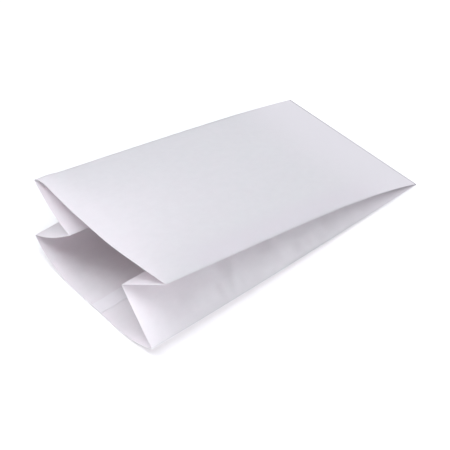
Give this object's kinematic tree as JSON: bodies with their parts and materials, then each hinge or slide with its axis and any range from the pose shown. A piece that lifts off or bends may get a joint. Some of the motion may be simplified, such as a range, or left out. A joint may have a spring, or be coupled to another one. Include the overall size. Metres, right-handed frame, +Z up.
{
  "type": "gusseted white paper bag",
  "caption": "White paper bag with inward-folded side gussets and a pinched bottom end, lying on its back with its mouth held open.",
  "frame": {"origin": "on the ground, under the middle of the lying bag", "axes": "+Z up, out of the front panel; the mouth faces -Y and the pinched bottom end +Y; +X is the side whose mouth corner stands higher"},
  "size_m": [0.1306, 0.248, 0.0691],
  "materials": {
    "paper": "matt bleached kraft paper, machine-smooth on the outside"
  },
  "bodies": {
    "root": {"bag": "paper"}
  },
  "joints": []
}
